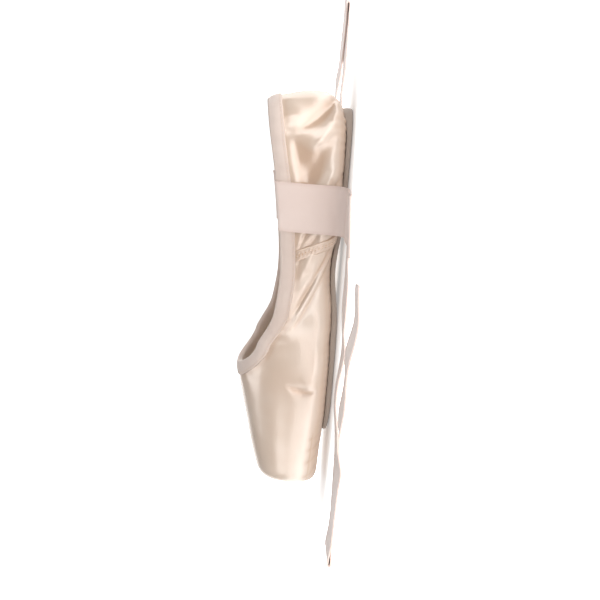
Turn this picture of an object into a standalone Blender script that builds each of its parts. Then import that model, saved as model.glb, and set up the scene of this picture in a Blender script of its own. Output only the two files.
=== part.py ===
# Pointe shoe, standing empty on its sole. Metres, +X to the toe, +Y the left side, +Z up.
# The origin is on the floor, under the middle of the shoe without its ribbons.
# It is made on a straight last, so left and right sides are alike.

import math
from collections import namedtuple

import bmesh
import bpy
import numpy as np

# Sizes of the last
LENGTH = 0.235
BALL_WIDTH = 0.072
WAIST_WIDTH = 0.050
HEEL_WIDTH = 0.054
PLATFORM_WIDTH = 0.046
PLATFORM_HEIGHT = 0.034
THROAT_HEIGHT = 0.055
ARCH_RISE = 0.003
TOE_SPRING = 0.0045
HEEL_RADIUS = 0.029
TOE_RADIUS = 0.011

# Sizes of the top edge
HEEL_HEIGHT = 0.050
SIDE_HEIGHT = 0.039
WAIST_HEIGHT = 0.0345
WING_HEIGHT = 0.045
VAMP_LENGTH = 0.070
THROAT_DEPTH = 0.017

# Sizes of the pieces
UPPER_WALL = 0.0016
BOX_WALL = 0.0030
BOX_LENGTH = 0.058
LASTING_MARGIN = 0.007
SOLE_THICKNESS = 0.0023
SOLE_HEEL_WIDTH = 0.038
SOLE_WAIST_WIDTH = 0.027
SOLE_BALL_WIDTH = 0.054
SOLE_HEEL_SETBACK = 0.009
SOLE_TOE_SETBACK = 0.033
INSOLE_THICKNESS = 0.0015
INSOLE_SPREAD = 0.002
INSOLE_CLEARANCE = 0.0005
BINDING_WIDTH = 0.0075
BINDING_INSIDE = 0.0055
BINDING_THICKNESS = 0.0007
SEAM_WIDTH = 0.0065
SEAM_THICKNESS = 0.0007
SEAM_TOP = 0.095
SEAM_FOOT = 0.083
RIBBON_WIDTH = 0.029
RIBBON_THICKNESS = 0.0006
RIBBON_LENGTH = 0.480
RIBBON_STATION = 0.066
RIBBON_TUCK = 0.015
RIBBON_DROP_CURVE = 0.008
RIBBON_FOLD = 0.0012
RIBBON_END_SLANT = 0.6
CLEARANCE = 0.0003
FLOOR_CLEARANCE = 0.0001

# Each section of the last, at a share of the length. Belly is the height of the widest place,
# as a share of the section's own height. Under and over are superellipse powers, below it and above.
Section = namedtuple("Section", "at width top belly under over")
SECTIONS = (
    Section(at=0.00, width=0.98 * HEEL_WIDTH, top=1.26 * HEEL_HEIGHT, belly=0.26, under=4.4, over=2.3),
    Section(at=0.14, width=1.00 * HEEL_WIDTH, top=1.22 * HEEL_HEIGHT, belly=0.27, under=4.6, over=2.3),
    Section(at=0.28, width=0.97 * HEEL_WIDTH, top=1.44 * SIDE_HEIGHT, belly=0.28, under=4.2, over=2.4),
    Section(at=0.44, width=1.00 * WAIST_WIDTH, top=1.55 * WAIST_HEIGHT, belly=0.30, under=3.6, over=2.4),
    Section(at=0.56, width=0.86 * BALL_WIDTH, top=1.00 * THROAT_HEIGHT, belly=0.29, under=4.0, over=2.4),
    Section(at=0.68, width=1.00 * BALL_WIDTH, top=1.02 * THROAT_HEIGHT, belly=0.30, under=4.8, over=2.3),
    Section(at=0.86, width=0.86 * BALL_WIDTH, top=0.87 * THROAT_HEIGHT, belly=0.38, under=4.2, over=2.4),
    Section(at=1.00, width=PLATFORM_WIDTH, top=TOE_SPRING + PLATFORM_HEIGHT, belly=0.46, under=3.0, over=2.5),
)

# Height of the sole's tread over the floor, flat at the heel and at the forefoot
Tread = namedtuple("Tread", "at rise")
TREADS = (
    Tread(at=0.00, rise=0.0),
    Tread(at=0.28, rise=0.0),
    Tread(at=0.44, rise=ARCH_RISE),
    Tread(at=0.58, rise=0.0),
    Tread(at=0.78, rise=0.0),
    Tread(at=0.88, rise=0.3 * TOE_SPRING),
    Tread(at=1.00, rise=max(TOE_SPRING - SOLE_THICKNESS, 0.0)),
)

# Height of the top edge along the quarters, and width of the outsole along its length
Rim = namedtuple("Rim", "at height")
RIMS = (
    Rim(at=0.00, height=1.00 * HEEL_HEIGHT),
    Rim(at=0.10, height=0.93 * HEEL_HEIGHT),
    Rim(at=0.24, height=1.03 * SIDE_HEIGHT),
    Rim(at=0.36, height=0.93 * SIDE_HEIGHT),
    Rim(at=0.46, height=1.00 * WAIST_HEIGHT),
    Rim(at=0.55, height=1.06 * WAIST_HEIGHT),
    Rim(at=0.63, height=1.00 * WING_HEIGHT),
)
Sole = namedtuple("Sole", "at width")
SOLES = (
    Sole(at=0.04, width=0.97 * SOLE_HEEL_WIDTH),
    Sole(at=0.14, width=1.00 * SOLE_HEEL_WIDTH),
    Sole(at=0.42, width=1.00 * SOLE_WAIST_WIDTH),
    Sole(at=0.66, width=1.00 * SOLE_BALL_WIDTH),
    Sole(at=0.90, width=0.92 * SOLE_BALL_WIDTH),
)

# Powers of the rounded ends, in plan
HEEL_CURVE = 2.2
TOE_CURVE = 3.4
THROAT_CURVE = 2.2
SOLE_HEEL_CURVE = 2.2
SOLE_TOE_CURVE = 3.2

# Each straight run of a ribbon on the floor: its heading from +X, and its length.
# The last run takes what is left of the ribbon.
Leg = namedtuple("Leg", "heading run")
LEFT_LEGS = (
    Leg(heading=90.0, run=0.052),
    Leg(heading=12.0, run=0.180),
    Leg(heading=158.0, run=None),
)
RIGHT_LEGS = (
    Leg(heading=90.0, run=0.046),
    Leg(heading=165.0, run=0.120),
    Leg(heading=27.0, run=None),
)

# Counts of the mesh
HALF_COLUMNS = 44
OUTER_ROWS = 14
INNER_ROWS = 12
MERIDIAN_SAMPLES = 240
HALVINGS = 36
BEND_WEIGHT = 0.018
PROBE = 1e-5

THROAT_CENTRE = LENGTH - VAMP_LENGTH - THROAT_DEPTH
SIDEWAYS = math.pi / 2


# A smooth curve through the rows of a table, with no overshoot between them
def glide(station, rows, column):
    knots = np.array([row.at for row in rows]) * LENGTH
    values = np.array([getattr(row, column) for row in rows])
    step = np.diff(knots)
    slope = np.diff(values) / step
    product = slope[:-1] * slope[1:]
    total = slope[:-1] + slope[1:]
    mild = product > 0
    tangent = np.concatenate(([slope[0]], np.zeros(len(slope) - 1), [slope[-1]]))
    tangent[1:-1][mild] = 2.0 * product[mild] / total[mild]
    span = np.clip(np.searchsorted(knots, station) - 1, 0, len(step) - 1)
    t = np.clip((station - knots[span]) / step[span], 0.0, 1.0)
    low = values[span] * (1 + 2 * t) * (1 - t) ** 2 + tangent[span] * step[span] * t * (1 - t) ** 2
    high = values[span + 1] * t ** 2 * (3 - 2 * t) + tangent[span + 1] * step[span] * t ** 2 * (t - 1)
    return low + high


def ease(value, start, end):
    t = np.clip((value - start) / (end - start), 0.0, 1.0)
    return t * t * (3 - 2 * t)


def under_height(station):
    return glide(station, TREADS, "rise") + SOLE_THICKNESS + CLEARANCE


def belly_height(station):
    under = under_height(station)
    return under + glide(station, SECTIONS, "belly") * (glide(station, SECTIONS, "top") - under)


# The last as a function: under 1 inside it, 1 on its surface, over 1 outside
def fullness(x, y, z):
    station = x + LENGTH / 2
    half_width = glide(station, SECTIONS, "width") / 2
    under = under_height(station)
    top = glide(station, SECTIONS, "top")
    belly = belly_height(station)
    above = z > belly
    reach = np.where(above, top - belly, belly - under)
    curve = np.where(above, glide(station, SECTIONS, "over"), glide(station, SECTIONS, "under"))
    ring = ((np.abs(y) / half_width) ** curve + (np.abs(z - belly) / reach) ** curve) ** (1 / curve)
    at_heel = station < LENGTH / 2
    from_end = np.where(at_heel, station, LENGTH - station)
    end = np.clip(1 - from_end / np.where(at_heel, HEEL_RADIUS, TOE_RADIUS), 0.0, None)
    end_curve = np.where(at_heel, HEEL_CURVE, TOE_CURVE)
    return ring ** end_curve + end ** end_curve


def outward(points):
    slopes = []
    for axis in range(3):
        shift = np.zeros(3)
        shift[axis] = PROBE
        ahead = fullness(*np.moveaxis(points + shift, -1, 0))
        behind = fullness(*np.moveaxis(points - shift, -1, 0))
        slopes.append(ahead - behind)
    normal = np.stack(slopes, axis=-1)
    return normal / np.linalg.norm(normal, axis=-1, keepdims=True)


def halve(low, high, is_low):
    for _ in range(HALVINGS):
        middle = (low + high) / 2
        keep = is_low(middle)
        low = np.where(keep, middle, low)
        high = np.where(keep, high, middle)
    return (low + high) / 2


# A point of the last's surface, seen from the spine at a station, along a heading and a pitch
def skin(centre, heading, pitch):
    level = belly_height(centre)

    def place(distance):
        flat = distance * np.cos(pitch)
        x = centre - LENGTH / 2 + flat * np.cos(heading)
        return x, flat * np.sin(heading), level + distance * np.sin(pitch)

    zero = np.zeros(np.broadcast(centre, heading, pitch).shape)
    distance = halve(zero, zero + LENGTH, lambda middle: fullness(*place(middle)) < 1)
    return np.stack(np.broadcast_arrays(*place(distance)), axis=-1)


def flat_distance(points, centre):
    return np.hypot(points[..., 0] + LENGTH / 2 - centre, points[..., 1])


# How far an oval outline reaches from the spine, along a heading
def oval_reach(heading, ahead, aside, curve):
    along = np.abs(np.cos(heading)) / ahead
    across = np.abs(np.sin(heading)) / aside
    return (along ** curve + across ** curve) ** (-1 / curve)


def sole_reach(centre, heading):
    forward = heading < SIDEWAYS
    ahead = np.where(forward, LENGTH - SOLE_TOE_SETBACK - centre, centre - SOLE_HEEL_SETBACK)
    curve = np.where(forward, SOLE_TOE_CURVE, SOLE_HEEL_CURVE)
    return oval_reach(heading, ahead, glide(centre, SOLES, "width") / 2, curve)


def rim_pitch_beside(centre, heading):
    def is_low(pitch):
        point = skin(centre, heading, pitch)
        return point[..., 2] < glide(point[..., 0] + LENGTH / 2, RIMS, "height")
    zero = np.zeros(np.shape(centre))
    return halve(zero, zero + SIDEWAYS, is_low)


# The pitch at which the top edge lies: a height along the quarters, an oval round the throat
def rim_pitch(centre, heading):
    corner = np.array([THROAT_CENTRE])
    beside = skin(corner, np.array([SIDEWAYS]), rim_pitch_beside(corner, np.array([SIDEWAYS])))
    throat = oval_reach(heading, THROAT_DEPTH, beside[0, 1], THROAT_CURVE)
    zero = np.zeros(np.shape(centre))
    around = halve(zero, zero + SIDEWAYS,
                   lambda pitch: flat_distance(skin(centre, heading, pitch), centre) > throat)
    return np.where(heading < SIDEWAYS, around, rim_pitch_beside(centre, heading))


def foot_pitch(centre, heading, reach):
    zero = np.zeros(np.shape(centre))
    return halve(zero - SIDEWAYS, zero,
                 lambda pitch: flat_distance(skin(centre, heading, pitch), centre) < reach)


# Lines on the last from the top edge down and under, one for each spine place and heading
class Meridians:
    def __init__(self, centre, heading, reach=None):
        self.centre = np.asarray(centre, dtype=float)
        self.heading = np.asarray(heading, dtype=float)
        if reach is None:
            reach = sole_reach(self.centre, self.heading) - LASTING_MARGIN
        rim = rim_pitch(self.centre, self.heading)
        foot = foot_pitch(self.centre, self.heading, reach)
        share = np.linspace(0.0, 1.0, MERIDIAN_SAMPLES)
        pitch = rim[:, None] + (foot - rim)[:, None] * share[None, :]
        self.points = skin(self.centre[:, None], self.heading[:, None], pitch)
        step = np.diff(self.points, axis=1)
        length = np.linalg.norm(step, axis=2)
        turn = np.zeros_like(length)
        unit = step / length[..., None]
        turn[:, 1:] = np.arccos(np.clip(np.sum(unit[:, 1:] * unit[:, :-1], axis=2), -1.0, 1.0))
        zero = np.zeros((len(self.centre), 1))
        self.down = np.concatenate((zero, np.cumsum(length, axis=1)), axis=1)
        self.weight = np.concatenate((zero, np.cumsum(length + BEND_WEIGHT * turn, axis=1)), axis=1)

    def read(self, scale, wanted):
        found = [[np.interp(row, line, points[:, axis]) for axis in range(3)]
                 for row, line, points in zip(wanted, scale, self.points)]
        return np.moveaxis(np.array(found), 1, 2)

    # Points at distances below the top edge, measured along the surface
    def below(self, distances):
        wanted = np.broadcast_to(np.asarray(distances, dtype=float), (len(self.centre), np.shape(distances)[-1]))
        return self.read(self.down, wanted)

    # Points from the top edge to the lasted margin: at the given distances first, and then at
    # even steps that are closer where it bends
    def spread(self, first, count):
        start = np.array([np.interp(first, down, weight) for down, weight in zip(self.down, self.weight)])
        share = np.linspace(0.0, 1.0, count + 1)[None, 1:]
        rest = start[:, -1:] + share * (self.weight[:, -1:] - start[:, -1:])
        return self.read(self.weight, np.concatenate((start, rest), axis=1))

    def up_direction(self):
        ends = self.points[:, 0] - self.points[:, 1]
        return ends / np.linalg.norm(ends, axis=1, keepdims=True)


# Spine places and headings round the shoe, from the toe by the left side and heel to the right
def around(half_columns):
    fine = 200
    turn = np.linspace(0.0, SIDEWAYS, fine)
    centre = np.concatenate((np.full(fine, THROAT_CENTRE), np.linspace(THROAT_CENTRE, HEEL_RADIUS, fine),
                             np.full(fine, HEEL_RADIUS)))
    heading = np.concatenate((turn, np.full(fine, SIDEWAYS), turn + SIDEWAYS))
    outline = skin(centre, heading, np.zeros_like(centre))
    step = np.diff(outline, axis=0)
    length = np.linalg.norm(step, axis=1)
    bearing = np.unwrap(np.arctan2(step[:, 1], step[:, 0]))
    turning = np.concatenate(([0.0], np.abs(np.diff(bearing))))
    weight = np.concatenate(([0.0], np.cumsum(length + BEND_WEIGHT * turning)))
    wanted = np.linspace(0.0, weight[-1], half_columns + 1)
    centre = np.interp(wanted, weight, centre)
    heading = np.interp(wanted, weight, heading)
    mirrored = slice(half_columns - 1, 0, -1)
    return (np.concatenate((centre, centre[mirrored])), np.concatenate((heading, heading[mirrored])),
            np.concatenate((np.ones(half_columns + 1), -np.ones(half_columns - 1))))


def sided(points, side):
    flipped = points.copy()
    flipped[..., 1] *= np.reshape(side, (-1,) + (1,) * (points.ndim - 2))
    return flipped


def wall_at(points):
    station = points[..., 0] + LENGTH / 2
    box = ease(station, LENGTH - VAMP_LENGTH, LENGTH - BOX_LENGTH + THROAT_DEPTH)
    return (UPPER_WALL + (BOX_WALL - UPPER_WALL) * box)[..., None]


def make_material(name, colour, roughness):
    material = bpy.data.materials.new(name)
    material.use_nodes = True
    shader = material.node_tree.nodes["Principled BSDF"]
    shader.inputs["Base Color"].default_value = (*colour, 1.0)
    shader.inputs["Roughness"].default_value = roughness
    shader.inputs["Metallic"].default_value = 0.0
    return material


def make_object(name, vertices, faces, material, weld=False):
    mesh = bpy.data.meshes.new(name)
    mesh.from_pydata([tuple(point) for point in vertices], [], faces)
    work = bmesh.new()
    work.from_mesh(mesh)
    if weld:
        bmesh.ops.remove_doubles(work, verts=work.verts, dist=1e-6)
    bmesh.ops.recalc_face_normals(work, faces=work.faces)
    work.to_mesh(mesh)
    work.free()
    mesh.materials.append(material)
    mesh.shade_smooth()
    mesh.set_sharp_from_angle(angle=math.radians(50))
    piece = bpy.data.objects.new(name, mesh)
    bpy.context.collection.objects.link(piece)
    return piece


# Faces between a row of sections, each a list of points; sections may close on themselves,
# and so may the row that they stand in
def sweep(name, sections, material, closed_section=True, closed_row=True, weld=False):
    rows, count = sections.shape[:2]
    faces = []
    for row in range(rows if closed_row else rows - 1):
        after = (row + 1) % rows
        for place in range(count if closed_section else count - 1):
            beside = (place + 1) % count
            faces.append((row * count + place, row * count + beside,
                          after * count + beside, after * count + place))
    if not closed_row:
        faces.append(tuple(range(count))[::-1])
        faces.append(tuple(range((rows - 1) * count, rows * count)))
    return make_object(name, sections.reshape(-1, 3), faces, material, weld)


def make_upper(lines, side, material):
    outer = lines.spread((0.0, BINDING_WIDTH / 2, BINDING_WIDTH), OUTER_ROWS)
    inside_of = lines.spread((0.0, BINDING_INSIDE), INNER_ROWS)
    inner = inside_of - outward(inside_of) * wall_at(inside_of)
    sections = np.concatenate((outer, inner[:, ::-1]), axis=1)
    return sweep("upper", sided(sections, side), material)


# Places on the underside of the last, in rings from the spine out to a given reach
def under_rings(centre, heading, reach, shares):
    flat = reach[:, None] * np.array(shares)[None, :]
    x = centre[:, None] - LENGTH / 2 + flat * np.cos(heading)[:, None]
    y = flat * np.sin(heading)[:, None]
    belly = belly_height(x + LENGTH / 2)
    z = halve(np.zeros_like(x), belly, lambda height: fullness(x, y, height) > 1)
    return np.stack((x, y, z), axis=-1)


def make_outsole(centre, heading, side, material):
    rings = under_rings(centre, heading, sole_reach(centre, heading), (0.0, 0.4, 0.7, 0.88, 1.0))
    top = rings + outward(rings) * CLEARANCE
    tread = top.copy()
    tread[..., 2] = glide(top[..., 0] + LENGTH / 2, TREADS, "rise")
    sections = np.concatenate((top, tread[:, ::-1][:, :1], tread[:, 2:3], tread[:, :1]), axis=1)
    return sweep("outsole", sided(sections, side), material, closed_section=False, weld=True)


def make_insole(centre, heading, side, material):
    reach = sole_reach(centre, heading) + INSOLE_SPREAD
    rings = under_rings(centre, heading, reach, (0.0, 0.4, 0.7, 0.88, 1.0))
    low = rings - outward(rings) * (wall_at(rings) + INSOLE_CLEARANCE)
    high = low + np.array((0.0, 0.0, INSOLE_THICKNESS))
    sections = np.concatenate((low, high[:, ::-1]), axis=1)
    return sweep("insole", sided(sections, side), material, closed_section=False, weld=True)


# An arc over the top edge, from outside to inside, at a distance off the wall's own faces
def over_edge(lines, off, angles):
    edge = lines.below((0.0,))[:, 0]
    normal = outward(edge)
    up = lines.up_direction()
    half_wall = wall_at(edge) / 2
    centre = edge - normal * half_wall
    arc = [centre + (half_wall + off) * (math.cos(a) * normal + math.sin(a) * up) for a in np.radians(angles)]
    return np.stack(arc, axis=1)


def off_outside(lines, distances, off):
    points = lines.below(distances)
    return points + outward(points) * off


def off_inside(lines, distances, off):
    points = lines.below(distances)
    return points - outward(points) * (wall_at(points) + off)


def make_binding(lines, side, material):
    near = CLEARANCE
    far = CLEARANCE + BINDING_THICKNESS
    sections = np.concatenate((
        off_outside(lines, (BINDING_WIDTH, BINDING_WIDTH / 2), far),
        over_edge(lines, far, (0, 45, 90, 135, 180)),
        off_inside(lines, (BINDING_INSIDE,), far),
        off_inside(lines, (BINDING_INSIDE,), near),
        over_edge(lines, near, (180, 90, 0)),
        off_outside(lines, (BINDING_WIDTH / 2, BINDING_WIDTH), near),
    ), axis=1)
    return sweep("binding", sided(sections, side), material)


# The raised seam, from under the binding to beside the outsole
def make_side_seam(name, side, material):
    shares = np.linspace(0.0, 1.0, 13)
    across = np.array((-0.5, 0.0, 0.5)) * SEAM_WIDTH
    centre = (SEAM_TOP + (SEAM_FOOT - SEAM_TOP) * shares)[:, None] + across[None, :]
    centre = centre.ravel()
    heading = np.full_like(centre, SIDEWAYS)
    lines = Meridians(centre, heading, sole_reach(centre, heading) + SOLE_THICKNESS)
    start = BINDING_WIDTH + CLEARANCE
    wanted = start + np.repeat(shares, len(across)) * (lines.down[:, -1] - start)
    points = lines.below(wanted[:, None])[:, 0].reshape(len(shares), len(across), 3)
    normal = outward(points)
    low = points + normal * CLEARANCE
    high = low + normal * SEAM_THICKNESS
    sections = np.concatenate((low, high[:, ::-1]), axis=1)
    sections[..., 1] *= side
    return sweep(name, sections, material, closed_row=False)


# Cross-lines of a ribbon where it is sewn inside the quarter, crosses the edge and drops to the floor
def ribbon_on_shoe(across):
    centre = RIBBON_STATION + across * RIBBON_WIDTH / 2
    lines = Meridians(centre, np.full_like(centre, SIDEWAYS))
    off = 2 * CLEARANCE + BINDING_THICKNESS + RIBBON_THICKNESS / 2
    inside = off_inside(lines, (RIBBON_TUCK, 0.6 * RIBBON_TUCK, 0.25 * RIBBON_TUCK), off)
    arc = over_edge(lines, off, (180, 150, 120, 90, 60, 30, 0))
    belly = skin(centre, np.full_like(centre, SIDEWAYS), np.zeros_like(centre))
    belly_down = np.array([np.interp(0.0, point[2] - points[:, 2], down)
                           for point, points, down in zip(belly, lines.points, lines.down)])
    outside = off_outside(lines, belly_down[:, None] * np.array((0.25, 0.5, 0.75, 1.0))[None, :], off)
    low = FLOOR_CLEARANCE + RIBBON_THICKNESS / 2
    wall = outside[:, -1, 1].max()
    bend = []
    for angle in np.radians((0, 30, 60, 90)):
        y = wall + RIBBON_DROP_CURVE * (1 - math.cos(angle))
        z = low + RIBBON_DROP_CURVE * (1 - math.sin(angle))
        bend.append(np.stack((centre - LENGTH / 2, np.full_like(centre, y), np.full_like(centre, z)), axis=-1))
    grid = np.concatenate((inside, arc, outside, np.stack(bend, axis=1)), axis=1)
    grid[..., 0] = (centre - LENGTH / 2)[:, None]
    return np.moveaxis(grid, 0, 1)


def run_length(grid):
    middle = grid[:, grid.shape[1] // 2]
    return np.linalg.norm(np.diff(middle, axis=0), axis=1).sum()


# Cross-lines of a ribbon along the floor. At a fold it turns over on a line that bisects the
# two headings, and lies on itself until it is clear of the layer below.
def ribbon_on_floor(start, legs, length, across):
    low = FLOOR_CLEARANCE + RIBBON_THICKNESS / 2
    up = np.array((0.0, 0.0, 1.0))
    half = RIBBON_WIDTH / 2
    along = np.array((0.0, 1.0, 0.0))
    aside = np.array((1.0, 0.0, 0.0))
    place = np.array((start[0], start[1], low))
    slant = 0.0
    lift = 0.0
    covered = 0.0
    lines = []
    for number, leg in enumerate(legs):
        run = leg.run if leg.run else length
        last = number == len(legs) - 1
        crease = None
        next_slant = RIBBON_END_SLANT
        if not last:
            next_heading = math.radians(legs[number + 1].heading)
            next_along = np.array((math.cos(next_heading), math.sin(next_heading), 0.0))
            crease = (along + next_along) / np.linalg.norm(along + next_along)
            next_slant = np.dot(crease, along) / np.dot(crease, aside)
        count = max(3, round(run / 0.014))
        for step in range(1 if number == 0 else 0, count + 1):
            gone = run * step / count
            near_start = slant * (1 - ease(gone, 0.0, run / 2))
            near_end = next_slant * ease(gone, run / 2, run)
            height = lift * (1 - ease(gone, covered, covered + RIBBON_WIDTH))
            lines.append([place + along * gone + up * height
                          + share * half * (aside + (near_start + near_end) * along) for share in across])
        place = place + along * run
        length -= run
        if last:
            break
        beyond = along - np.dot(along, crease) * crease
        beyond /= np.linalg.norm(beyond)
        radius = RIBBON_FOLD / 2
        for angle in np.radians((45, 90, 135)):
            centre = place + beyond * radius * math.sin(angle) + up * radius * (1 - math.cos(angle))
            lines.append([centre + share * half * (aside + next_slant * along) for share in across])
        length -= math.pi * radius
        covered = RIBBON_WIDTH / abs(np.cross(along, next_along)[2])
        aside = 2 * np.dot(aside, crease) * crease - aside
        along = next_along
        slant = next_slant
        lift = RIBBON_FOLD
    return np.array(lines)


def make_ribbon(name, legs, side, material):
    across = np.array((-1.0, 0.0, 1.0))
    upright = ribbon_on_shoe(across)
    start = upright[-1, len(across) // 2]
    floor = ribbon_on_floor(start, legs, RIBBON_LENGTH - run_length(upright), across)
    grid = np.concatenate((upright, floor), axis=0)
    onward = np.gradient(grid, axis=0)
    sideward = grid[:, -1:] - grid[:, :1]
    normal = np.cross(onward, np.broadcast_to(sideward, onward.shape))
    normal /= np.linalg.norm(normal, axis=2, keepdims=True)
    offset = normal * RIBBON_THICKNESS / 2
    sections = np.concatenate((grid + offset, (grid - offset)[:, ::-1]), axis=1)
    sections[..., 1] *= side
    return sweep(name, sections, material, closed_row=False)


def main():
    for item in list(bpy.data.objects):
        bpy.data.objects.remove(item, do_unlink=True)

    satin = make_material("satin", (0.78, 0.63, 0.51), 0.38)
    suede = make_material("suede", (0.34, 0.29, 0.26), 0.90)
    lining = make_material("lining", (0.72, 0.64, 0.56), 0.85)
    tape = make_material("tape", (0.80, 0.66, 0.60), 0.75)
    ribbon = make_material("ribbon", (0.77, 0.63, 0.58), 0.50)

    centre, heading, side = around(HALF_COLUMNS)
    lines = Meridians(centre, heading)
    make_upper(lines, side, satin)
    make_outsole(centre, heading, side, suede)
    make_insole(centre, heading, side, lining)
    make_binding(lines, side, tape)
    make_side_seam("side_seam_left", 1, satin)
    make_side_seam("side_seam_right", -1, satin)
    make_ribbon("ribbon_left", LEFT_LEGS, 1, ribbon)
    make_ribbon("ribbon_right", RIGHT_LEGS, -1, ribbon)


main()
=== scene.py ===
# Pointe shoe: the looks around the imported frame. Metres, +X to the toe, +Y the left side, +Z up.

import math
from collections import namedtuple

import bmesh
import bpy
import numpy as np
from mathutils import Matrix, Vector


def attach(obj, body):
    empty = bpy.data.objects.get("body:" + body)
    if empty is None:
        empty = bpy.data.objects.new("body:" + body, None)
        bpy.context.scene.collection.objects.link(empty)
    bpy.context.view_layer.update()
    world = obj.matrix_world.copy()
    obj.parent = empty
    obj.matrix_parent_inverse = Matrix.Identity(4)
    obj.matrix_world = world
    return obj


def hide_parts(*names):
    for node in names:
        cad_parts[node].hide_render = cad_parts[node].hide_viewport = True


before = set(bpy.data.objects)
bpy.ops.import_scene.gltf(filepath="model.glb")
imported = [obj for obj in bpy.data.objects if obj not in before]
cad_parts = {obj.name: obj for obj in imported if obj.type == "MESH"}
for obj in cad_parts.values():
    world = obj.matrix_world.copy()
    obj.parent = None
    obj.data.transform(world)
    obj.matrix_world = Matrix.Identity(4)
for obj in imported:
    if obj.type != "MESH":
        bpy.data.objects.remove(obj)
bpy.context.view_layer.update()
print("frame loaded")

sideways = math.pi / 2
halvings = 30
bendWeight = 0.006  # a radian of bend is given as many rows as this length

# The last: the same sizes and sections as the frame was made with
last = {
    "length": 0.235, "ballWidth": 0.072, "waistWidth": 0.050, "heelWidth": 0.054,
    "platformWidth": 0.046, "platformHeight": 0.034, "throatHeight": 0.055,
    "heelHeight": 0.050, "sideHeight": 0.039, "waistHeight": 0.0345, "wingHeight": 0.045,
    "vampLength": 0.070, "throatDepth": 0.017, "archRise": 0.003, "toeSpring": 0.0045,
    "heelRadius": 0.029, "toeRadius": 0.011, "heelCurve": 2.2, "toeCurve": 3.4, "throatCurve": 2.2,
    "wall": 0.0016, "boxWall": 0.0030, "boxLength": 0.058, "margin": 0.007, "clearance": 0.0003,
}
sole = {
    "thickness": 0.0023, "heelWidth": 0.038, "waistWidth": 0.027, "ballWidth": 0.054,
    "heelSetback": 0.009, "toeSetback": 0.033, "heelCurve": 2.2, "toeCurve": 3.2,
    "edgeRound": 0.0006, "channelIn": 0.0028, "channelWidth": 0.0006, "channelDepth": 0.00022,
}
throatCentre = last["length"] - last["vampLength"] - last["throatDepth"]

Section = namedtuple("Section", "at width top belly under over")
sections = (
    Section(0.00, 0.98 * last["heelWidth"], 1.26 * last["heelHeight"], 0.26, 4.4, 2.3),
    Section(0.14, 1.00 * last["heelWidth"], 1.22 * last["heelHeight"], 0.27, 4.6, 2.3),
    Section(0.28, 0.97 * last["heelWidth"], 1.44 * last["sideHeight"], 0.28, 4.2, 2.4),
    Section(0.44, 1.00 * last["waistWidth"], 1.55 * last["waistHeight"], 0.30, 3.6, 2.4),
    Section(0.56, 0.86 * last["ballWidth"], 1.00 * last["throatHeight"], 0.29, 4.0, 2.4),
    Section(0.68, 1.00 * last["ballWidth"], 1.02 * last["throatHeight"], 0.30, 4.8, 2.3),
    Section(0.86, 0.86 * last["ballWidth"], 0.87 * last["throatHeight"], 0.38, 4.2, 2.4),
    Section(1.00, last["platformWidth"], last["toeSpring"] + last["platformHeight"], 0.46, 3.0, 2.5),
)
Level = namedtuple("Level", "at value")
treads = (
    Level(0.00, 0.0), Level(0.28, 0.0), Level(0.44, last["archRise"]), Level(0.58, 0.0),
    Level(0.78, 0.0), Level(0.88, 0.3 * last["toeSpring"]),
    Level(1.00, last["toeSpring"] - sole["thickness"]),
)
rims = (
    Level(0.00, last["heelHeight"]), Level(0.10, 0.93 * last["heelHeight"]),
    Level(0.24, 1.03 * last["sideHeight"]), Level(0.36, 0.93 * last["sideHeight"]),
    Level(0.46, last["waistHeight"]), Level(0.55, 1.06 * last["waistHeight"]),
    Level(0.63, last["wingHeight"]),
)
soleWidths = (
    Level(0.04, 0.97 * sole["heelWidth"]), Level(0.14, sole["heelWidth"]), Level(0.42, sole["waistWidth"]),
    Level(0.66, sole["ballWidth"]), Level(0.90, 0.92 * sole["ballWidth"]),
)


def glide(station, rows, column="value"):  # a smooth curve through a table's rows, with no overshoot
    knots = np.array([row.at for row in rows]) * last["length"]
    values = np.array([getattr(row, column) for row in rows])
    step = np.diff(knots)
    slope = np.diff(values) / step
    product = slope[:-1] * slope[1:]
    mild = product > 0
    tangent = np.concatenate(([slope[0]], np.zeros(len(slope) - 1), [slope[-1]]))
    tangent[1:-1][mild] = 2.0 * product[mild] / (slope[:-1] + slope[1:])[mild]
    span = np.clip(np.searchsorted(knots, station) - 1, 0, len(step) - 1)
    t = np.clip((station - knots[span]) / step[span], 0.0, 1.0)
    low = values[span] * (1 + 2 * t) * (1 - t) ** 2 + tangent[span] * step[span] * t * (1 - t) ** 2
    high = values[span + 1] * t ** 2 * (3 - 2 * t) + tangent[span + 1] * step[span] * t ** 2 * (t - 1)
    return low + high


def stationOf(x):  # how far along the shoe a place is, from the heel's end
    return x + last["length"] / 2


def placeOf(station):
    return station - last["length"] / 2


def ease(value, start, end):
    t = np.clip((value - start) / (end - start), 0.0, 1.0)
    return t * t * (3 - 2 * t)


def underHeight(station):
    return glide(station, treads) + sole["thickness"] + last["clearance"]


def bellyHeight(station):
    under = underHeight(station)
    return under + glide(station, sections, "belly") * (glide(station, sections, "top") - under)


def fullness(x, y, z):  # under 1 inside the last, 1 on it
    station = stationOf(x)
    halfWidth = glide(station, sections, "width") / 2
    under = underHeight(station)
    top = glide(station, sections, "top")
    belly = under + glide(station, sections, "belly") * (top - under)
    above = z > belly
    reach = np.where(above, top - belly, belly - under)
    curve = np.where(above, glide(station, sections, "over"), glide(station, sections, "under"))
    ring = ((np.abs(y) / halfWidth) ** curve + (np.abs(z - belly) / reach) ** curve) ** (1 / curve)
    atHeel = station < last["length"] / 2
    fromEnd = np.where(atHeel, station, last["length"] - station)
    end = np.clip(1 - fromEnd / np.where(atHeel, last["heelRadius"], last["toeRadius"]), 0.0, None)
    endCurve = np.where(atHeel, last["heelCurve"], last["toeCurve"])
    return ring ** endCurve + end ** endCurve


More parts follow.
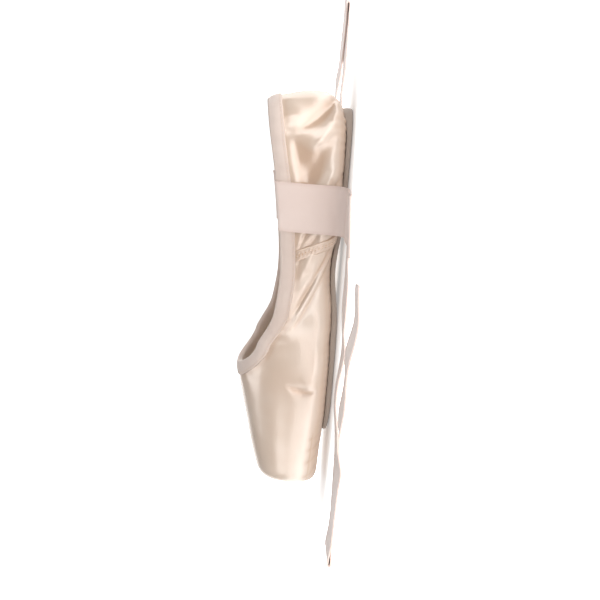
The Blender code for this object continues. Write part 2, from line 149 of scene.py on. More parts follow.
def outward(points):
    probe = 1e-5
    slopes = []
    for axis in range(3):
        shift = np.zeros(3)
        shift[axis] = probe
        beyond, before = np.moveaxis(points + shift, -1, 0), np.moveaxis(points - shift, -1, 0)
        slopes.append(fullness(*beyond) - fullness(*before))
    normal = np.stack(slopes, axis=-1)
    return normal / np.linalg.norm(normal, axis=-1, keepdims=True)


def halve(low, high, isLow):
    for _ in range(halvings):
        middle = (low + high) / 2
        keep = isLow(middle)
        low = np.where(keep, middle, low)
        high = np.where(keep, high, middle)
    return (low + high) / 2


def skin(centre, heading, pitch):  # a point of the last, seen from its spine
    level = bellyHeight(centre)

    def place(distance):
        flat = distance * np.cos(pitch)
        x = placeOf(centre) + flat * np.cos(heading)
        return x, flat * np.sin(heading), level + distance * np.sin(pitch)

    zero = np.zeros(np.broadcast(centre, heading, pitch).shape)
    distance = halve(zero, zero + last["length"], lambda middle: fullness(*place(middle)) < 1)
    return np.stack(np.broadcast_arrays(*place(distance)), axis=-1)


def flatDistance(points, centre):
    return np.hypot(stationOf(points[..., 0]) - centre, points[..., 1])


def ovalReach(heading, ahead, aside, curve):
    lengthwise, crosswise = np.abs(np.cos(heading)) / ahead, np.abs(np.sin(heading)) / aside
    return (lengthwise ** curve + crosswise ** curve) ** (-1 / curve)


def soleReach(centre, heading):
    forward = heading < sideways
    ahead = np.where(forward, last["length"] - sole["toeSetback"] - centre, centre - sole["heelSetback"])
    curve = np.where(forward, sole["toeCurve"], sole["heelCurve"])
    return ovalReach(heading, ahead, glide(centre, soleWidths) / 2, curve)


def rimPitchBeside(centre, heading):
    def isLow(pitch):
        point = skin(centre, heading, pitch)
        return point[..., 2] < glide(stationOf(point[..., 0]), rims)
    zero = np.zeros(np.shape(centre))
    return halve(zero, zero + sideways, isLow)


def rimPitch(centre, heading):  # the top edge: a height along the quarters, an oval round the throat
    corner, square = np.array([throatCentre]), np.array([sideways])
    beside = skin(corner, square, rimPitchBeside(corner, square))
    throat = ovalReach(heading, last["throatDepth"], beside[0, 1], last["throatCurve"])
    zero = np.zeros(np.shape(centre))
    inFront = halve(zero, zero + sideways,
                    lambda pitch: flatDistance(skin(centre, heading, pitch), centre) > throat)
    return np.where(heading < sideways, inFront, rimPitchBeside(centre, heading))


class Meridians:  # lines on the last from the top edge down and under
    def __init__(self, centre, heading, reach=None, samples=200):
        self.centre = np.asarray(centre, dtype=float)
        self.heading = np.asarray(heading, dtype=float)
        if reach is None:
            reach = soleReach(self.centre, self.heading) - last["margin"]
        rim = rimPitch(self.centre, self.heading)
        zero = np.zeros(np.shape(self.centre))
        foot = halve(zero - sideways, zero, lambda pitch: flatDistance(
            skin(self.centre, self.heading, pitch), self.centre) < reach)
        share = np.linspace(0.0, 1.0, samples)
        pitch = rim[:, None] + (foot - rim)[:, None] * share[None, :]
        self.points = skin(self.centre[:, None], self.heading[:, None], pitch)
        step = np.diff(self.points, axis=1)
        length = np.linalg.norm(step, axis=2)
        unit = step / length[..., None]
        turn = np.zeros_like(length)
        turn[:, 1:] = np.arccos(np.clip(np.sum(unit[:, 1:] * unit[:, :-1], axis=2), -1.0, 1.0))
        zero = np.zeros((len(self.centre), 1))
        self.down = np.concatenate((zero, np.cumsum(length, axis=1)), axis=1)
        self.weight = np.concatenate((zero, np.cumsum(length + bendWeight * turn, axis=1)), axis=1)
        ends = self.points[:, 0] - self.points[:, 1]
        self.up = ends / np.linalg.norm(ends, axis=1, keepdims=True)

    def read(self, scale, wanted):
        found = [[np.interp(row, line, points[:, axis]) for axis in range(3)]
                 for row, line, points in zip(wanted, scale, self.points)]
        return np.moveaxis(np.array(found), 1, 2)

    def below(self, distances):
        distances = np.asarray(distances, dtype=float)
        return self.read(self.down, np.broadcast_to(distances, (len(self.centre), distances.shape[-1])))

    def spread(self, first, count):  # the first rows where asked for, the rest closer where it bends
        start = np.array([np.interp(first, down, weight) for down, weight in zip(self.down, self.weight)])
        share = np.linspace(0.0, 1.0, count + 1)[None, 1:]
        rest = start[:, -1:] + share * (self.weight[:, -1:] - start[:, -1:])
        wanted = np.concatenate((start, rest), axis=1)
        down = np.array([np.interp(row, weight, line)
                         for row, weight, line in zip(wanted, self.weight, self.down)])
        return self.read(self.weight, wanted), down


def around(halfColumns):  # spine places and headings round the shoe, from the toe by the left
    fine = 200
    turn = np.linspace(0.0, sideways, fine)
    straight = np.linspace(throatCentre, last["heelRadius"], fine)
    centre = np.concatenate((np.full(fine, throatCentre), straight, np.full(fine, last["heelRadius"])))
    heading = np.concatenate((turn, np.full(fine, sideways), turn + sideways))
    outline = skin(centre, heading, np.zeros_like(centre))
    step = np.diff(outline, axis=0)
    bearing = np.unwrap(np.arctan2(step[:, 1], step[:, 0]))
    turning = np.concatenate(([0.0], np.abs(np.diff(bearing))))
    weight = np.concatenate(([0.0], np.cumsum(np.linalg.norm(step, axis=1) + bendWeight * turning)))
    wanted = np.linspace(0.0, weight[-1], halfColumns + 1)
    return np.interp(wanted, weight, centre), np.interp(wanted, weight, heading)


def bothSides(left):  # a closed row of columns from the left half's, toe first
    right = left[-2:0:-1].copy()
    right[..., 1] *= -1
    return np.concatenate((left, right))


def bothSame(left):
    return np.concatenate((left, left[-2:0:-1]))


def wallAt(points):
    box = ease(stationOf(points[..., 0]), last["length"] - last["vampLength"],
               last["length"] - last["boxLength"] + last["throatDepth"])
    return (last["wall"] + (last["boxWall"] - last["wall"]) * box)[..., None]


def put(name, data):
    thing = bpy.data.objects.new(name, data)
    bpy.context.collection.objects.link(thing)
    return thing


def makePiece(name, vertices, faces, material, weld=False, sharp=None):
    mesh = bpy.data.meshes.new(name)
    mesh.from_pydata(np.asarray(vertices).reshape(-1, 3).tolist(), [], faces)
    work = bmesh.new()
    work.from_mesh(mesh)
    if weld:
        bmesh.ops.remove_doubles(work, verts=work.verts, dist=1e-7)
    bmesh.ops.recalc_face_normals(work, faces=work.faces)
    work.to_mesh(mesh)
    work.free()
    mesh.materials.append(material)
    mesh.shade_smooth()
    if sharp:
        mesh.set_sharp_from_angle(angle=math.radians(sharp))
    piece = put(name, mesh)
    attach(piece, "root")
    return piece


def sweep(name, sectionRow, material, closedSection=True, closedRow=True, weld=False, sharp=None):
    rows, count = sectionRow.shape[:2]
    faces = []
    for row in range(rows if closedRow else rows - 1):
        here, after = row * count, (row + 1) % rows * count
        for place in range(count if closedSection else count - 1):
            beside = (place + 1) % count
            faces.append((here + place, here + beside, after + beside, after + place))
    if not closedRow:
        faces.append(tuple(range(count))[::-1])
        faces.append(tuple(range((rows - 1) * count, rows * count)))
    return makePiece(name, sectionRow, faces, material, weld, sharp)


def paint(piece, name, values):  # a number on each vertex, which the materials read
    attribute = piece.data.attributes.new(name, "FLOAT", "POINT")
    attribute.data.foreach_set("value", np.asarray(values, dtype=np.float32).ravel())


def unit(vectors):
    return vectors / np.maximum(np.linalg.norm(vectors, axis=-1, keepdims=True), 1e-12)


def runAlong(points):  # how far each point of a row is from the first
    return np.concatenate(([0.0], np.cumsum(np.linalg.norm(np.diff(points, axis=0), axis=1))))


# Materials

class Wire:  # a socket of a node tree, with arithmetic
    def __init__(self, tree, socket=None):
        self.tree = tree
        self.socket = socket

    def node(self, kind, settings=None, inputs=None, output=0):
        made = self.tree.nodes.new(kind)
        for name, value in (settings or {}).items():
            setattr(made, name, value)
        for name, value in (inputs or {}).items():
            if isinstance(value, Wire):
                self.tree.links.new(value.socket, made.inputs[name])
            else:
                made.inputs[name].default_value = value
        return Wire(self.tree, made.outputs[output])

    def maths(self, operation, *values):
        return self.node("ShaderNodeMath", {"operation": operation}, dict(enumerate(values)))

    def __add__(self, other):
        return self.maths("ADD", self, other)

    def __sub__(self, other):
        return self.maths("SUBTRACT", self, other)

    def __mul__(self, other):
        return self.maths("MULTIPLY", self, other)

    def __rsub__(self, other):
        return self.maths("SUBTRACT", other, self)

    __radd__ = __add__
    __rmul__ = __mul__

    def clamped(self, low, high, outLow=0.0, outHigh=1.0):
        return self.node("ShaderNodeMapRange", {"interpolation_type": "SMOOTHSTEP"}, {
            "Value": self, "From Min": low, "From Max": high, "To Min": outLow, "To Max": outHigh})

    def place(self):
        return self.node("ShaderNodeTexCoord", output="Object")

    def scaled(self, vector, scale):
        return self.node("ShaderNodeVectorMath", {"operation": "MULTIPLY"}, {0: vector, 1: scale})

    def noise(self, vector, scale, detail=2.0, roughness=0.5):
        return self.node("ShaderNodeTexNoise", None, {
            "Vector": vector, "Scale": scale, "Detail": detail, "Roughness": roughness})

    def painted(self, name):
        return self.node("ShaderNodeAttribute", {"attribute_name": name}, output="Fac")

    def mixed(self, factor, *ends):  # an end is a wire, or a colour as three numbers
        first, second = [end if isinstance(end, Wire) else colour(*end) for end in ends]
        return self.node("ShaderNodeMix", {"data_type": "RGBA"}, {
            "Factor": factor, 6: first, 7: second}, output=2)

    def bump(self, height, strength, distance, normal=None):
        inputs = {"Height": height, "Strength": strength, "Distance": distance}
        if normal:
            inputs["Normal"] = normal
        return self.node("ShaderNodeBump", None, inputs)


plainSockets = {
    "roughness": "Roughness", "metallic": "Metallic", "ior": "IOR", "specular": "Specular IOR Level",
    "sheen": "Sheen Weight", "sheenRoughness": "Sheen Roughness", "glow": "Emission Strength",
}


def startMaterial(name, look):
    material = bpy.data.materials.new(name)
    material.use_nodes = True
    shader = material.node_tree.nodes["Principled BSDF"]
    for key, socket in plainSockets.items():
        if key in look:
            shader.inputs[socket].default_value = look[key]
    return material, Wire(material.node_tree), shader


def feed(shader, **wires):
    for socket, wire in wires.items():
        wire.tree.links.new(wire.socket, shader.inputs[socket.replace("_", " ")])


def colour(*parts):
    return (*parts, 1.0)


# deep is the colour of the painted shade; face and bright vary at random
satinLook = {
    "face": (0.745, 0.578, 0.458), "deep": (0.560, 0.335, 0.200), "bright": (0.775, 0.625, 0.510),
    "metallic": 0.06, "ior": 1.90, "specular": 1.0, "sheen": 0.15, "sheenRoughness": 0.35,
    "cloudScale": 28.0, "slubScale": 600.0, "slubStretch": (0.25, 1.0, 1.0), "slubRelief": (0.08, 0.0004),
    "threadScale": 2700.0, "threadStretch": (0.08, 1.0, 1.0), "threadRelief": (0.10, 0.0002),
    "paintedShadeTone": 0.62,
    # together they stay under 0.2667, where a render shows specks
    "roughness": 0.238, "glossRange": 0.010, "paintedShadeRough": 0.008,
}


def satinMaterial():
    look = satinLook
    material, wire, shader = startMaterial("satin", look)
    place = wire.place()
    cloud = wire.noise(place, look["cloudScale"], 3.0)
    slub = wire.noise(wire.scaled(place, look["slubStretch"]), look["slubScale"])
    warp = wire.noise(wire.scaled(place, look["threadStretch"]), look["threadScale"])
    paintedShade = wire.painted("paintedShade")
    tone = wire.mixed(cloud.clamped(0.35, 0.65), look["face"], look["bright"])
    # Painted shade: the colour darkens towards deep where the upper is shaded, in its creases, on its
    # underside, under the binding's edge and at the seams
    tone = wire.mixed(paintedShade * look["paintedShadeTone"], tone, look["deep"])
    rough = look["roughness"] + wire.painted("gloss") * look["glossRange"] + paintedShade * look["paintedShadeRough"]
    grain = wire.bump(warp, *look["threadRelief"])
    grain = wire.bump(slub, *look["slubRelief"], grain)
    feed(shader, Base_Color=tone, Roughness=rough, Normal=grain)
    return material


clothLook = {
    "tape": {"face": (0.770, 0.645, 0.575), "deep": (0.600, 0.460, 0.390), "rib": 0.00055,
             "roughness": 0.78, "sheen": 0.35, "relief": 0.50},
    "ribbonCloth": {"face": (0.825, 0.690, 0.630), "deep": (0.720, 0.565, 0.505), "rib": 0.00045,
                    "roughness": 0.46, "sheen": 0.25, "relief": 0.22},
}
weaveLook = {
    "warpShare": 0.8, "ribHeight": 0.5, "fleckHeight": 0.8, "fleckScale": 1400.0, "depth": 0.0002,
    "cloudScale": 45.0, "cloudTone": 0.30, "shadeTone": 0.6, "sheenRoughness": 0.4,
}


def wovenMaterial(name):  # tape or ribbon, ribbed across its length
    look = {**weaveLook, **clothLook[name]}
    material, wire, shader = startMaterial(name, look)
    rib = wire.maths("SINE", wire.painted("along") * (2 * math.pi / look["rib"]))
    warp = wire.maths("SINE", wire.painted("across") * (2 * math.pi / (look["rib"] * look["warpShare"])))
    place = wire.place()
    cloud = wire.noise(place, look["cloudScale"], 3.0).clamped(0.3, 0.75, 0.0, look["cloudTone"])
    fleck = wire.noise(place, look["fleckScale"])
    tone = wire.mixed(cloud, look["face"], look["deep"])
    tone = wire.mixed(wire.painted("shade") * look["shadeTone"], tone, look["deep"])
    height = rib * warp * look["ribHeight"] + fleck * look["fleckHeight"]
    feed(shader, Base_Color=tone, Normal=wire.bump(height, look["relief"], look["depth"]))
    return material


threadLook = {
    "dark": (0.62, 0.44, 0.33), "light": (0.84, 0.68, 0.56), "twistScale": 2500.0,
    "roughness": 0.55, "sheen": 0.3,
}


def threadMaterial():
    look = threadLook
    material, wire, shader = startMaterial("thread", look)
    twist = wire.noise(wire.place(), look["twistScale"], 1.0)
    feed(shader, Base_Color=wire.mixed(twist, look["dark"], look["light"]))
    return material


suedeLook = {
    "face": (0.340, 0.290, 0.250), "brushed": (0.470, 0.405, 0.350), "scuffed": (0.200, 0.165, 0.145),
    "edge": (0.470, 0.395, 0.340), "roughness": 0.95, "sheen": 0.25, "sheenRoughness": 0.6,
    "napScale": 1800.0, "napRelief": (0.45, 0.0004), "strokeScale": 90.0, "strokeStretch": (0.35, 1.0, 1.0),
}


def suedeMaterial():
    look = suedeLook
    material, wire, shader = startMaterial("suede", look)
    place = wire.place()
    nap = wire.noise(place, look["napScale"], 4.0, 0.7)
    stroke = wire.noise(wire.scaled(place, look["strokeStretch"]), look["strokeScale"], 4.0, 0.65)
    worn = wire.painted("scuff") * stroke.clamped(0.35, 0.6)
    tone = wire.mixed(stroke.clamped(0.3, 0.7), look["face"], look["brushed"])
    tone = wire.mixed(worn, tone, look["scuffed"])
    tone = wire.mixed(wire.painted("edge"), tone, look["edge"])
    feed(shader, Base_Color=tone, Normal=wire.bump(nap, *look["napRelief"]))
    return material


liningLook = {
    "canvas": {"face": (0.93, 0.84, 0.74), "deep": (0.86, 0.75, 0.64)},
    "sock": {"face": (0.86, 0.73, 0.60), "deep": (0.76, 0.62, 0.49)},
}
liningWeave = {
    "scale": 9000.0, "relief": (0.25, 0.00015), "cloudScale": 35.0, "roughness": 0.88, "sheen": 0.2,
}


def liningMaterial(name):
    look = {**liningWeave, **liningLook[name]}
    material, wire, shader = startMaterial(name, look)
    place = wire.place()
    along = wire.node("ShaderNodeSeparateXYZ", None, {0: place})
    upward = wire.node("ShaderNodeSeparateXYZ", None, {0: place}, output=2)
    weave = wire.maths("SINE", along * look["scale"]) * wire.maths("SINE", upward * look["scale"])
    cloud = wire.noise(place, look["cloudScale"], 4.0)
    tone = wire.mixed(cloud.clamped(0.35, 0.7), look["face"], look["deep"])
    feed(shader, Base_Color=tone, Normal=wire.bump(weave, *look["relief"]))
    return material


satin = satinMaterial()
tape = wovenMaterial("tape")
ribbonCloth = wovenMaterial("ribbonCloth")
thread = threadMaterial()
suede = suedeMaterial()
canvas = liningMaterial("canvas")
sock = liningMaterial("sock")
print("materials made")


# The camera, the floor and the light

studio = {
    "lens": 120.0, "distance": 1.20, "azimuth": 11.0, "elevation": 2.6, "roll": -86.0,
    "target": (0.008, 0.0, 0.022), "world": 0.21, "worldTint": (1.0, 0.99, 0.98),
    "floor": (0.900, 0.890, 0.880), "floorRoughness": 0.65, "floorDrop": 0.0003, "halfWidth": 12.0,
    "front": 12.0, "sweepStart": -6.0, "sweepRadius": 1.5, "sweepSteps": 12, "height": 4.0,
    # The floor glows in a ring: dim under the shoe, full between the middle radii, half further out
    "glow": 1.80, "pool": (0.048, 0.090, 0.18, 0.42), "poolNear": 0.14, "poolFar": 0.50,
    "poolStretch": (0.40, 1.0, 1.0),
}
Lamp = namedtuple("Lamp", "name place size energy")
lamps = (
    Lamp("key", (-1.05, 1.55, 0.55), 1.6, 10.4),
    Lamp("fill", (1.20, 1.10, 0.50), 0.8, 1.8),
    Lamp("top", (0.10, -0.05, 1.40), 1.4, 7.2),
    Lamp("back", (-0.40, -1.10, 0.70), 1.1, 3.4),
)


def makeCamera():
    azimuth = math.radians(studio["azimuth"])
    elevation = math.radians(studio["elevation"])
    away = Vector((-math.sin(azimuth) * math.cos(elevation), math.cos(azimuth) * math.cos(elevation),
                   math.sin(elevation)))
    data = bpy.data.cameras.new("camera")
    data.lens = studio["lens"]
    data.clip_start = 0.01
    camera = put("camera", data)
    turn = (-away).to_track_quat("-Z", "Y").to_matrix().to_4x4()
    turn = turn @ Matrix.Rotation(math.radians(studio["roll"]), 4, "Z")
    turn.translation = Vector(studio["target"]) + away * studio["distance"]
    camera.matrix_world = turn
    bpy.context.scene.camera = camera


def makeFloor():
    material, wire, shader = startMaterial("floor", {
        "roughness": studio["floorRoughness"], "glow": studio["glow"]})
    shader.inputs["Base Color"].default_value = colour(*studio["floor"])
    inner, full, fading, outer = studio["pool"]
    place = wire.scaled(wire.place(), studio["poolStretch"])
    reach = wire.node("ShaderNodeVectorMath", {"operation": "LENGTH"}, {0: place}, 1)
    rising = reach.clamped(inner, full, studio["poolNear"], 1.0)
    falling = reach.clamped(fading, outer, 1.0, studio["poolFar"])
    feed(shader, Emission_Color=wire.mixed(rising * falling, (0, 0, 0), (1, 1, 1)))
    profile = [(studio["front"], 0.0), (studio["sweepStart"], 0.0)]
    for step in range(1, studio["sweepSteps"] + 1):
        angle = sideways * step / studio["sweepSteps"]
        profile.append((studio["sweepStart"] - studio["sweepRadius"] * math.sin(angle),
                        studio["sweepRadius"] * (1 - math.cos(angle))))
    profile.append((profile[-1][0], studio["height"]))
    half = studio["halfWidth"]
    points = [(x, y, z - studio["floorDrop"]) for y, z in profile for x in (-half, half)]
    faces = [(2 * row, 2 * row + 1, 2 * row + 3, 2 * row + 2) for row in range(len(profile) - 1)]
    mesh = bpy.data.meshes.new("floor")
    mesh.from_pydata(points, [], faces)
    mesh.materials.append(material)
    mesh.shade_smooth()
    floor = put("floor", mesh)


def makeLamps():
    for lamp in lamps:
        data = bpy.data.lights.new(lamp.name, "AREA")
        data.shape = "DISK"
        data.size = lamp.size
        data.energy = lamp.energy
        light = put(lamp.name, data)
        light.location = lamp.place
        ahead = Vector(studio["target"]) - light.location
        light.rotation_euler = ahead.to_track_quat("-Z", "Y").to_euler()
    world = bpy.data.worlds.new("studio")
    world.use_nodes = True
    world.node_tree.nodes["Background"].inputs["Color"].default_value = colour(*studio["worldTint"])
    world.node_tree.nodes["Background"].inputs["Strength"].default_value = studio["world"]
    bpy.context.scene.world = world
    bpy.context.scene.view_settings.view_transform = "Standard"


makeCamera()
makeFloor()
makeLamps()
print("studio set")


# Stitches: one joined mesh of short threads in a row

stitchShape = {"rings": 7, "sides": 6, "thinnest": 0.12, "arch": 1.1, "sink": 0.45}


def stitches(name, slot, middles, directions, normals, length, radius):
    rings, sides = stitchShape["rings"], stitchShape["sides"]
    directions, normals = unit(directions), unit(normals)
    asides = np.cross(directions, normals)
    vertices, faces = [], []
    for middle, direction, normal, aside in zip(middles, directions, normals, asides):
        first = len(vertices)
        for ring in range(rings):
            share = ring / (rings - 1)
            thick = radius * max(stitchShape["thinnest"], math.sin(math.pi * (0.06 + 0.88 * share)) ** 0.5)
            rise = radius * (stitchShape["arch"] * math.sin(math.pi * share) - stitchShape["sink"])
            hub = middle + direction * length * (share - 0.5) + normal * rise
            for side in range(sides):
                angle = 2 * math.pi * side / sides
                vertices.append(hub + thick * (math.cos(angle) * aside + math.sin(angle) * normal))
        for here in range(first, first + (rings - 1) * sides, sides):
            after = here + sides
            for side in range(sides):
                beside = (side + 1) % sides
                faces.append((here + side, here + beside, after + beside, after + side))
        faces.append(tuple(range(first, first + sides))[::-1])
        faces.append(tuple(range(len(vertices) - sides, len(vertices))))
    piece = makePiece(name, vertices, faces, thread)


def alongLoop(points, normals, pitch, closed=True):  # even places along a row of points
    ends = np.concatenate((points, points[:1])) if closed else points
    faces = np.concatenate((normals, normals[:1])) if closed else normals
    gone = runAlong(ends)
    count = int(round(gone[-1] / pitch))
    wanted = (np.arange(count) + 0.5) * gone[-1] / count
    place = np.stack([np.interp(wanted, gone, ends[:, axis]) for axis in range(3)], axis=1)
    normal = unit(np.stack([np.interp(wanted, gone, faces[:, axis]) for axis in range(3)], axis=1))
    ahead = np.stack([np.interp(wanted + 1e-4, gone, ends[:, axis]) for axis in range(3)], axis=1)
    behind = np.stack([np.interp(wanted - 1e-4, gone, ends[:, axis]) for axis in range(3)], axis=1)
    return place, unit(ahead - behind), normal


# The ribbons, sewn inside the quarters, over the top edge and down on the floor

ribbon = {
    "width": 0.029, "thickness": 0.0005, "length": 0.480, "station": 0.066, "tuck": 0.015,
    "dropCurve": 0.008, "lift": 0.0003, "endSlant": 0.6, "selvedge": 0.00018, "selvedgeWidth": 0.0010,
    "across": 14, "step": 0.003, "insideRows": 8, "edgeRows": 13, "outsideRows": 12, "dropRows": 9,
    "fold": 0.0018, "settled": 0.0009, "foldRun": 0.016, "foldAngles": (20, 45, 70, 90, 110, 135, 160, 180),
    "wave": 0.0016, "tiltShare": 0.25, "sway": 0.0015, "calmRun": 0.03,
}
ribbonBeats = {"wave": 95, "slowWave": 41, "tilt": 73, "sway": 38}  # radians of wave per metre
tack = {
    "rows": (0.8, 6.6), "shares": (-0.86, 0.86), "steps": 30, "pitch": 0.0024, "length": 0.0017,
    "radius": 0.00016, "standOff": 0.55,
}
tapeSizes = {"width": 0.0075, "inside": 0.0055, "thickness": 0.0007}
Leg = namedtuple("Leg", "heading run")
ribbonLegs = {
    "left": (Leg(90.0, 0.052), Leg(12.0, 0.180), Leg(158.0, None)),
    "right": (Leg(90.0, 0.046), Leg(165.0, 0.120), Leg(27.0, None)),
}


def overEdge(lines, off, angles):
    edge = lines.below((0.0,))[:, 0]
    normal = outward(edge)
    halfWall = wallAt(edge) / 2
    centre = edge - normal * halfWall
    return np.stack([centre + (halfWall + off) * (math.cos(a) * normal + math.sin(a) * lines.up)
                     for a in np.radians(angles)], axis=1)


def offOutside(lines, distances, off):
    points = lines.below(distances)
    return points + outward(points) * off


def offInside(lines, distances, off):
    points = lines.below(distances)
    return points - outward(points) * (wallAt(points) + off)


def ribbonOnShoe(across):
    centre = ribbon["station"] + across * ribbon["width"] / 2
    heading = np.full_like(centre, sideways)
    lines = Meridians(centre, heading)
    off = 2 * last["clearance"] + tapeSizes["thickness"] + ribbon["thickness"] / 2
    inside = offInside(lines, ribbon["tuck"] * np.linspace(1.0, 0.12, ribbon["insideRows"]), off)
    arc = overEdge(lines, off, np.linspace(180, 0, ribbon["edgeRows"]))
    belly = skin(centre, heading, np.zeros_like(centre))
    bellyDown = np.array([np.interp(0.0, point[2] - points[:, 2], down)
                          for point, points, down in zip(belly, lines.points, lines.down)])
    shares = np.linspace(0.08, 1.0, ribbon["outsideRows"])
    outside = offOutside(lines, bellyDown[:, None] * shares[None, :], off)
    low = ribbon["thickness"] / 2 + ribbon["lift"]
    wall = outside[:, -1, 1].max()
    bend = []
    for angle in np.linspace(0.0, sideways, ribbon["dropRows"]):
        y = wall + ribbon["dropCurve"] * (1 - math.cos(angle))
        z = low + ribbon["dropCurve"] * (1 - math.sin(angle))
        bend.append(np.stack((placeOf(centre), np.full_like(centre, y), np.full_like(centre, z)), axis=-1))
    grid = np.concatenate((inside, arc, outside, np.stack(bend, axis=1)), axis=1)
    grid[..., 0] = placeOf(centre)[:, None]
    return np.moveaxis(grid, 0, 1)


def middleLine(grid):
    return (grid[:, (grid.shape[1] - 1) // 2] + grid[:, grid.shape[1] // 2]) / 2


# A run after a run. At a fold the ribbon turns over, on the line that bisects the two headings.
def ribbonOnFloor(start, legs, length, across, phase):
    low = ribbon["thickness"] / 2 + ribbon["lift"]
    half = ribbon["width"] / 2
    up = np.array((0.0, 0.0, 1.0))
    along = np.array((0.0, 1.0, 0.0))
    aside = np.array((1.0, 0.0, 0.0))
    place = np.array((start[0], start[1], low))
    slant, covered = 0.0, 0.0
    lines = []
    for number, leg in enumerate(legs):
        run = leg.run if leg.run else length
        atEnd = number == len(legs) - 1
        nextSlant, nextCovered = ribbon["endSlant"], -1.0
        if not atEnd:
            nextHeading = math.radians(legs[number + 1].heading)
            nextAlong = np.array((math.cos(nextHeading), math.sin(nextHeading), 0.0))
            crease = unit(along + nextAlong)
            nextSlant = np.dot(crease, along) / np.dot(crease, aside)
            nextCovered = ribbon["width"] / abs(np.cross(along, nextAlong)[2])
        count = round(run / ribbon["step"])
        for step in range(1, count + 1):
            gone = run * step / count
            skew = slant * (1 - ease(gone, 0.0, run / 2)) + nextSlant * ease(gone, run / 2, run)
            calm = ease(gone, covered, covered + ribbon["calmRun"]) \
                * ease(run - gone, nextCovered, nextCovered + ribbon["calmRun"])
            wave = math.sin(gone * ribbonBeats["wave"] + phase + number) \
                * math.cos(gone * ribbonBeats["slowWave"] + phase)
            tilt = ribbon["tiltShare"] * (1 + math.sin(gone * ribbonBeats["tilt"] + 2 * phase))
            sway = ribbon["sway"] * calm * math.sin(gone * ribbonBeats["sway"] + phase)
            height = ribbon["wave"] * calm * (1 + wave)
            if number:  # the run before it lies under its start
                height += ribbon["settled"] * (1 - ease(gone, covered, covered + 0.6 * ribbon["width"]))
                height += (ribbon["fold"] - ribbon["settled"]) * (1 - ease(gone, 0.0, ribbon["foldRun"]))
            middle = place + along * gone + up * height + aside * sway
            raised = up * ribbon["wave"] * calm * tilt
            lines.append([middle + share * half * (aside + skew * along)
                          + raised * (share * share + share) / 2 for share in across])
        place = place + along * run
        length -= run
        if atEnd:
            break
        beyond = unit(along - np.dot(along, crease) * crease)
        radius = ribbon["fold"] / 2
        for angle in np.radians(ribbon["foldAngles"]):
            centre = place + beyond * radius * math.sin(angle) + up * radius * (1 - math.cos(angle))
            lines.append([centre + share * half * (aside + nextSlant * along) for share in across])
        length -= math.pi * radius
        covered = nextCovered
        aside = 2 * np.dot(aside, crease) * crease - aside
        along = nextAlong
        slant = nextSlant
    return np.array(lines)


def makeRibbon(node, legs, side, phase):
    across = np.linspace(-1.0, 1.0, ribbon["across"])
    upright = ribbonOnShoe(across)
    left = ribbon["length"] - runAlong(middleLine(upright))[-1]
    floor = ribbonOnFloor(upright[-1].mean(axis=0), legs, left, across, phase)
    grid = np.concatenate((upright, floor), axis=0)
    onward = np.gradient(grid, axis=0)
    sideward = np.broadcast_to(grid[:, -1:] - grid[:, :1], onward.shape)
    normal = unit(np.cross(onward, sideward))
    thick = ribbon["thickness"] / 2 + ribbon["selvedge"] * ease(np.abs(across), 0.93, 0.97)
    offset = normal * thick[None, :, None]
    ring = np.concatenate((grid + offset, (grid - offset)[:, ::-1]), axis=1)
    ring[..., 1] *= side
    piece = sweep(node + "_cloth", ring, ribbonCloth, closedRow=False, sharp=60)
    middle = middleLine(grid)
    middle[:, 1] *= side
    gone = runAlong(middle)
    spread = np.concatenate((across, across[::-1])) * ribbon["width"] / 2
    edge = ribbon["width"] / 2 - ribbon["selvedgeWidth"]
    paint(piece, "along", np.repeat(gone, len(spread)))
    paint(piece, "across", np.tile(spread, len(gone)))
    paint(piece, "shade", np.tile(ease(np.abs(spread), edge - 0.0003, edge + 0.0005), len(gone)))
    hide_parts(node)
    tackStitches(node, grid, side)


def tackStitches(node, grid, side):  # the rectangle that holds a ribbon inside the quarter
    rows, shares = tack["rows"], tack["shares"]
    corners = ((rows[0], shares[0]), (rows[0], shares[1]), (rows[1], shares[1]), (rows[1], shares[0]))
    places = []
    for first, second in zip(corners, corners[1:] + corners[:1]):
        for step in np.linspace(0.0, 1.0, tack["steps"], endpoint=False):
            places.append([a + (b - a) * step for a, b in zip(first, second)])
    row, share = np.array(places).T
    column = (share + 1) / 2 * (grid.shape[1] - 1)
    above, before = np.floor(row).astype(int), np.floor(column).astype(int)
    down, across = (row - above)[:, None], (column - before)[:, None]
    high, low = [grid[line, before] * (1 - across) + grid[line, before + 1] * across
                 for line in (above, above + 1)]
    points = high * (1 - down) + low * down
    normals = np.zeros_like(points)
    normals[:, 1] = -side
    points[:, 1] *= side
    points += normals * ribbon["thickness"] * tack["standOff"]
    middles, directions, normals = alongLoop(points, normals, tack["pitch"])
    stitches(node + "_stitches", "ribbon", middles, directions, normals, tack["length"], tack["radius"])


makeRibbon("ribbon_left", ribbonLegs["left"], 1, 0.4)
makeRibbon("ribbon_right", ribbonLegs["right"], -1, 1.9)
print("ribbons laid")


# The upper: satin outside, canvas inside

upper = {
    "halfColumns": 330, "outerRows": 96, "innerRows": 22, "rimRows": (0.0, 0.002, 0.004, 0.006),
    "liningGap": 0.0004, "liningThickness": 0.0003, "liningRelief": 0.4,
    "wobble": 0.00030, "boxWobble": 0.00006, "wobbleStep": 0.010, "glossStep": 0.014,
    "pucker": 0.00012, "puckerPitch": 0.0011, "gather": 0.00030, "gathers": 27,
    "lasting": 0.00012, "lastingPitch": 0.00075,
    "seamGroove": 0.00035, "seamWidth": 0.0007, "ridgeShare": 0.4, "ridgeOff": 0.0018, "ridgeWidth": 0.0012,
    "pleat": 0.00050, "pleats": 18.0, "pleatCentre": 0.186,
    "pleatEdge": 0.0058, "pleatEdgeDepth": 0.00025, "pleatEdgeWidth": 0.0006,
}
# How dark the painted shade is at each kind of place
upperShade = {"edge": 0.7, "seam": 0.8, "pleat": 0.8, "under": 0.45, "tape": 0.40, "gather": 0.35}

